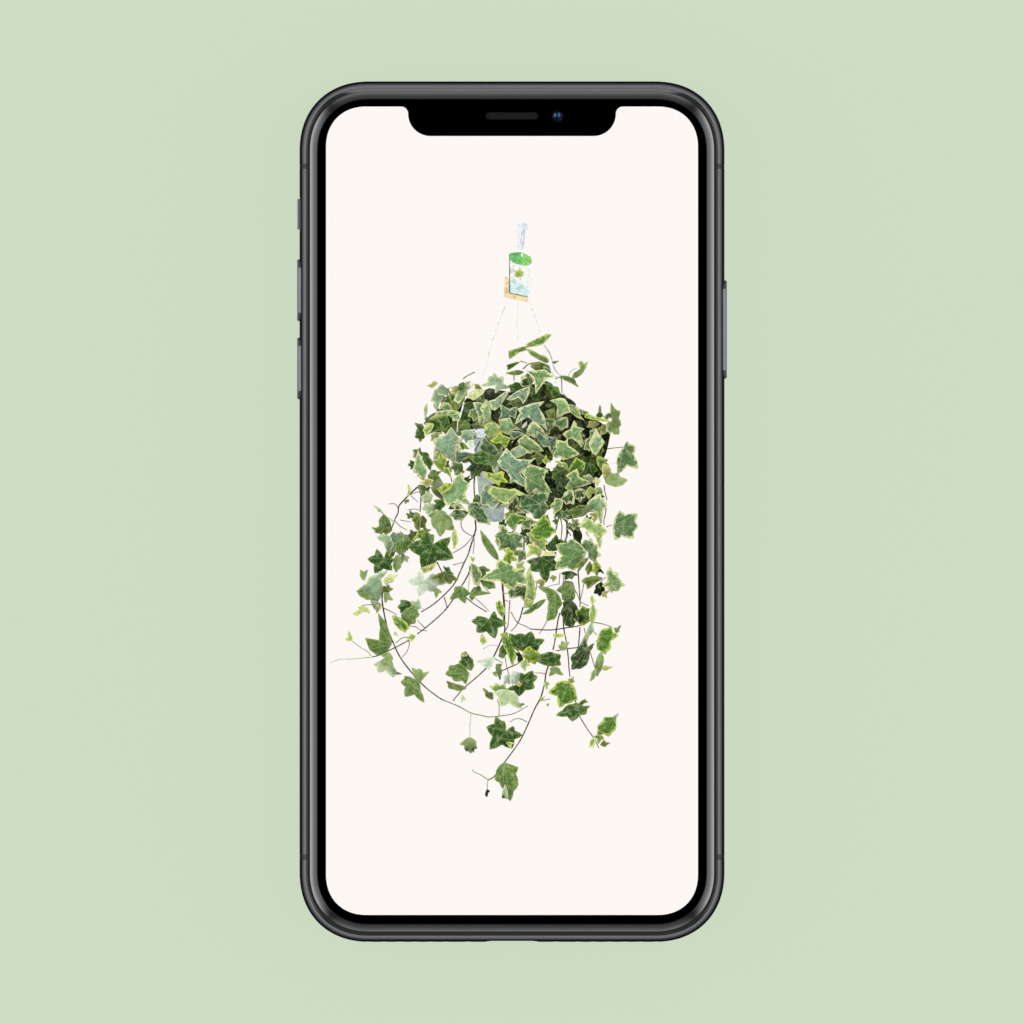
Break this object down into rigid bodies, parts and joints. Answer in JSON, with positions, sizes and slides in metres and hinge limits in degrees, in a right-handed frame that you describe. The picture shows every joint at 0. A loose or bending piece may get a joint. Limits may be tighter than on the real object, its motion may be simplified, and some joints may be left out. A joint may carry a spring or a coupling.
{
  "type": "smartphone",
  "caption": "Slim touchscreen phone with rounded corners, a metal rail, glass front and back, a notched edge-to-edge screen, sliding keys, a ring switch and a card tray.",
  "frame": {"origin": "middle of the flat back, on the surface that the phone lies on", "axes": "+X to the right of the screen, +Y towards the earpiece end, +Z out of the screen"},
  "size_m": [0.0716, 0.1436, 0.0077],
  "materials": {
    "rail_metal": "polished dark grey steel",
    "key_metal": "polished dark grey steel",
    "antenna_plastic": "satin",
    "clear_glass": "polished",
    "black_glass": "polished",
    "black_print": "printed",
    "lit_screen": "lit",
    "seal_rubber": "matte",
    "grille_mesh": "woven mesh",
    "lens_glass": "coated lens",
    "flash_lens": "frosted",
    "chassis_metal": "satin",
    "copper": "wound wire",
    "battery_foil": "satin film",
    "board_laminate": "lacquered",
    "shield_metal": "stamped",
    "socket_metal": "drawn",
    "inner_plastic": "moulded"
  },
  "bodies": {
    "phone": {"rail_left": "rail_metal", "rail_right": "rail_metal", "rail_top": "rail_metal", "rail_bottom": "rail_metal", "antenna_break_top_left": "antenna_plastic", "antenna_break_top_right": "antenna_plastic", "antenna_break_bottom_left": "antenna_plastic", "antenna_break_bottom_right": "antenna_plastic", "cover_glass": "clear_glass", "screen_border": "black_print", "cover_seal": "seal_rubber", "screen_carrier": "inner_plastic", "screen_panel": "lit_screen", "earpiece_grille": "grille_mesh", "back_glass": "black_glass", "back_seal": "seal_rubber", "back_adhesive": "inner_plastic", "rear_camera_ring": "key_metal", "rear_camera_window": "black_glass", "rear_camera_wide": "lens_glass", "rear_camera_tele": "lens_glass", "rear_flash": "flash_lens", "front_camera": "lens_glass", "chassis_plate": "chassis_metal", "charging_coil": "copper", "battery_main": "battery_foil", "battery_lower": "battery_foil", "logic_board": "board_laminate", "board_shield_upper": "shield_metal", "board_shield_lower": "shield_metal", "vibration_motor": "shield_metal", "loudspeaker": "inner_plastic", "earpiece_speaker": "inner_plastic", "dot_projector": "shield_metal", "infrared_camera": "shield_metal", "key_contacts_left": "shield_metal", "key_contacts_right": "shield_metal", "card_reader": "shield_metal", "charging_socket": "socket_metal", "bottom_screw_left": "key_metal", "bottom_screw_right": "key_metal"},
    "volume_up": {"volume_up_key": "key_metal"},
    "volume_down": {"volume_down_key": "key_metal"},
    "side": {"side_key": "key_metal"},
    "ring": {"ring_switch": "key_metal"},
    "tray": {"card_tray": "rail_metal"}
  },
  "joints": [
    {"name": "volume_up_press", "type": "slide", "parent": "phone", "child": "volume_up", "axis": [1, 0, 0], "range_m": [0, 0.0003], "stiffness_N_per_m": 3000},
    {"name": "volume_down_press", "type": "slide", "parent": "phone", "child": "volume_down", "axis": [1, 0, 0], "range_m": [0, 0.0003], "stiffness_N_per_m": 3000},
    {"name": "side_press", "type": "slide", "parent": "phone", "child": "side", "axis": [-1, 0, 0], "range_m": [0, 0.0003], "stiffness_N_per_m": 3000},
    {"name": "ring_slide", "type": "slide", "parent": "phone", "child": "ring", "axis": [0, 0, -1], "range_m": [0, 0.001]},
    {"name": "tray_slide", "type": "slide", "parent": "phone", "child": "tray", "axis": [1, 0, 0], "range_m": [0, 0.016]}
  ]
}
